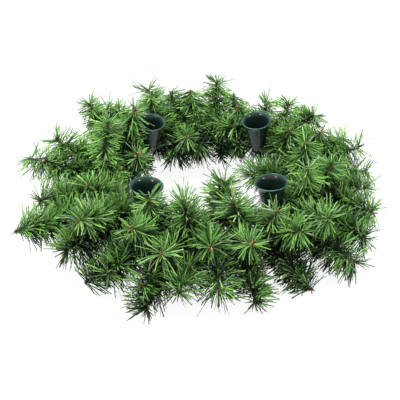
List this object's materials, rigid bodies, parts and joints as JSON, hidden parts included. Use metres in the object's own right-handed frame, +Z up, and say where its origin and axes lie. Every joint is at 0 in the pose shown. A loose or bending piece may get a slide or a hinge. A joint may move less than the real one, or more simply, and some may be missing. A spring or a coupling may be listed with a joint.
{
  "type": "candle ring",
  "caption": "Artificial pine wreath on a wire ring that lies flat on a table, with flared plastic cups clipped round it for taper candles and an open middle.",
  "frame": {"origin": "middle of the underside of the whole wreath's box, on the table it lies on", "axes": "+Z up, out of the candle cups; +X to the right and -Y towards the viewer of the picture"},
  "size_m": [0.346, 0.3214, 0.0999],
  "materials": {
    "green_wire": "dark green coated steel wire, slight sheen",
    "cup_plastic": "glossy very dark green moulded plastic with a paler thin lip",
    "pine_needles": "cut film needles, mid green with paler and yellower strips and brown tips"
  },
  "bodies": {
    "root": {"frame_wires": "green_wire", "candle_cup_back_right": "cup_plastic", "candle_cup_back_left": "cup_plastic", "candle_cup_front_left": "cup_plastic", "candle_cup_front_right": "cup_plastic", "pine_spray_back_01": "pine_needles", "pine_spray_back_02": "pine_needles", "pine_spray_back_03": "pine_needles", "pine_spray_back_04": "pine_needles", "pine_spray_back_05": "pine_needles", "pine_spray_back_06": "pine_needles", "pine_spray_back_07": "pine_needles", "pine_spray_back_08": "pine_needles", "pine_spray_back_09": "pine_needles", "pine_spray_back_10": "pine_needles", "pine_spray_back_11": "pine_needles", "pine_spray_back_12": "pine_needles", "pine_spray_front_01": "pine_needles", "pine_spray_front_02": "pine_needles", "pine_spray_front_03": "pine_needles", "pine_spray_front_04": "pine_needles", "pine_spray_front_05": "pine_needles", "pine_spray_front_06": "pine_needles", "pine_spray_front_07": "pine_needles", "pine_spray_front_08": "pine_needles", "pine_spray_front_09": "pine_needles", "pine_spray_front_10": "pine_needles", "pine_spray_front_11": "pine_needles", "pine_spray_front_12": "pine_needles", "pine_spray_front_13": "pine_needles", "pine_spray_front_14": "pine_needles", "pine_spray_left_01": "pine_needles", "pine_spray_left_02": "pine_needles", "pine_spray_left_03": "pine_needles", "pine_spray_left_04": "pine_needles", "pine_spray_left_05": "pine_needles", "pine_spray_left_06": "pine_needles", "pine_spray_left_07": "pine_needles", "pine_spray_left_08": "pine_needles", "pine_spray_left_09": "pine_needles", "pine_spray_left_10": "pine_needles", "pine_spray_left_11": "pine_needles", "pine_spray_left_12": "pine_needles", "pine_spray_right_01": "pine_needles", "pine_spray_right_02": "pine_needles", "pine_spray_right_03": "pine_needles", "pine_spray_right_04": "pine_needles", "pine_spray_right_05": "pine_needles", "pine_spray_right_06": "pine_needles", "pine_spray_right_07": "pine_needles", "pine_spray_right_08": "pine_needles", "pine_spray_right_09": "pine_needles", "pine_spray_right_10": "pine_needles", "pine_spray_right_11": "pine_needles", "pine_spray_right_12": "pine_needles", "pine_spray_right_13": "pine_needles", "pine_spray_right_14": "pine_needles", "pine_spray_right_15": "pine_needles"}
  },
  "joints": []
}
